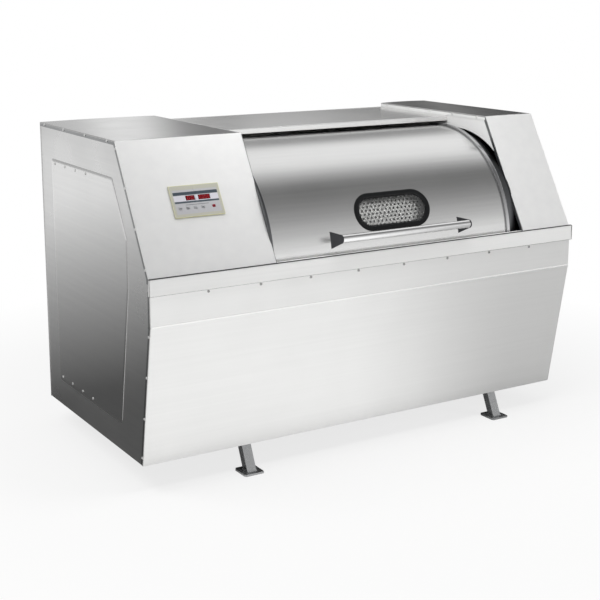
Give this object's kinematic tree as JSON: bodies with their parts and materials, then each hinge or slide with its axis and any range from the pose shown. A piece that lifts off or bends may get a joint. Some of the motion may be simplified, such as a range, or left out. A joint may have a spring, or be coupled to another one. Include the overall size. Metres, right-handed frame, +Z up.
{
  "type": "industrial washing machine",
  "caption": "Horizontal stainless washing machine with a lying perforated drum in a tub, a curved sliding door with window and handle, and drive and service cabinets at its ends.",
  "frame": {"origin": "on the floor, midway between both ends and midway between the door handle and the hose spigots at the back", "axes": "+X to the right along the drum, +Y to the back, +Z up"},
  "size_m": [2.012, 1.1266, 1.3],
  "materials": {
    "panel_steel": "satin stainless sheet",
    "rail_steel": "polished stainless rail",
    "frame_paint": "grey primer paint",
    "leg_paint": "dark grey paint",
    "drum_steel": "perforated stainless sheet",
    "shaft_steel": "turned steel",
    "bearing_iron": "painted casting",
    "gear_iron": "painted casting",
    "motor_paint": "painted casting",
    "pulley_iron": "machined casting",
    "rubber": "black rubber",
    "belt": "fabric faced rubber",
    "nylon": "natural nylon",
    "glass": "clear curved pane",
    "fascia": "light grey film",
    "display": "dark red lens",
    "key": "grey key cap",
    "key_red": "red key cap",
    "screw": "bright screw heads"
  },
  "bodies": {
    "cabinet": {"left_end_wall": "panel_steel", "right_end_wall": "panel_steel", "tub_shell": "panel_steel", "door_gutter": "panel_steel", "front_sill": "panel_steel", "apron": "panel_steel", "left_front_panel": "panel_steel", "right_front_panel": "panel_steel", "left_side_panel": "panel_steel", "right_side_panel": "panel_steel", "left_access_cover": "panel_steel", "right_access_cover": "panel_steel", "left_top_cover": "panel_steel", "right_top_cover": "panel_steel", "centre_top_cover": "panel_steel", "rear_panel": "panel_steel", "water_inlet_pipe": "panel_steel", "drain_pipe": "panel_steel", "left_door_rail": "rail_steel", "right_door_rail": "rail_steel", "frame_long_rails": "frame_paint", "frame_cross_rails": "frame_paint", "frame_posts": "frame_paint", "drive_base": "frame_paint", "legs": "leg_paint", "gearbox_standoffs": "shaft_steel", "left_bearing": "bearing_iron", "right_bearing": "bearing_iron", "gearbox_housing": "gear_iron", "motor_body": "motor_paint", "sill_edge_trim": "rubber", "door_stops": "rubber", "shaft_seals": "rubber", "drive_belts": "belt", "control_fascia": "fascia", "display_windows": "display", "panel_screws": "screw"},
    "door": {"sliding_door": "panel_steel", "window_gasket": "rubber", "window_glass": "glass", "handle_bar": "panel_steel", "handle_brackets": "panel_steel", "door_glides": "nylon"},
    "drum": {"drum_shell": "drum_steel", "drum_door_surround": "drum_steel", "drum_left_end": "drum_steel", "drum_right_end": "drum_steel", "drum_lifters": "drum_steel", "drum_hinge_pin": "shaft_steel", "drive_shaft": "shaft_steel", "idle_shaft": "shaft_steel"},
    "drum_hatch": {"drum_door": "drum_steel"},
    "gear_input": {"gearbox_pulley": "pulley_iron"},
    "motor_rotor": {"motor_pulley": "pulley_iron"},
    "valve": {"drain_valve": "panel_steel"},
    "key_one_cap": {"key_one": "key"},
    "key_two_cap": {"key_two": "key"},
    "key_three_cap": {"key_three": "key"},
    "key_four_cap": {"key_four": "key"},
    "key_red_cap": {"key_red": "key_red"}
  },
  "joints": [
    {"name": "door_slide", "type": "hinge", "parent": "cabinet", "child": "door", "pos_m": [0.1305, -0.0277, 0.785], "axis": [-1, 0, 0], "range_deg": [0, 75]},
    {"name": "drum_spin", "type": "hinge", "parent": "cabinet", "child": "drum", "pos_m": [0.1305, -0.0277, 0.785], "axis": [-1, 0, 0], "continuous": true},
    {"name": "drum_hatch_swing", "type": "hinge", "parent": "drum", "child": "drum_hatch", "pos_m": [0.1305, -0.35514, 1.03174], "axis": [-1, 0, 0], "range_deg": [0, 105]},
    {"name": "gear_input_spin", "type": "hinge", "parent": "cabinet", "child": "gear_input", "pos_m": [-0.697, 0.1923, 0.635], "axis": [0, 1, 0], "continuous": true},
    {"name": "motor_spin", "type": "hinge", "parent": "cabinet", "child": "motor_rotor", "pos_m": [-0.697, 0.1923, 0.349], "axis": [0, 1, 0], "continuous": true},
    {"name": "drain_valve_turn", "type": "hinge", "parent": "cabinet", "child": "valve", "pos_m": [0.51817, 0.2423, 0.237], "axis": [0, 0, 1], "range_deg": [0, 90]},
    {"name": "key_one_press", "type": "slide", "parent": "cabinet", "child": "key_one_cap", "axis": [0, 0.8647, -0.5024], "range_m": [0, 0.0012], "stiffness_N_per_m": 400, "springref_m": -0.0004},
    {"name": "key_two_press", "type": "slide", "parent": "cabinet", "child": "key_two_cap", "axis": [0, 0.8647, -0.5024], "range_m": [0, 0.0012], "stiffness_N_per_m": 400, "springref_m": -0.0004},
    {"name": "key_three_press", "type": "slide", "parent": "cabinet", "child": "key_three_cap", "axis": [0, 0.8647, -0.5024], "range_m": [0, 0.0012], "stiffness_N_per_m": 400, "springref_m": -0.0004},
    {"name": "key_four_press", "type": "slide", "parent": "cabinet", "child": "key_four_cap", "axis": [0, 0.8647, -0.5024], "range_m": [0, 0.0012], "stiffness_N_per_m": 400, "springref_m": -0.0004},
    {"name": "key_red_press", "type": "slide", "parent": "cabinet", "child": "key_red_cap", "axis": [0, 0.8647, -0.5024], "range_m": [0, 0.0012], "stiffness_N_per_m": 400, "springref_m": -0.0004}
  ],
  "couplings": [
    {"joint": "gear_input_spin", "follows": "drum_spin", "ratio": 10},
    {"joint": "motor_spin", "follows": "drum_spin", "ratio": 18}
  ]
}
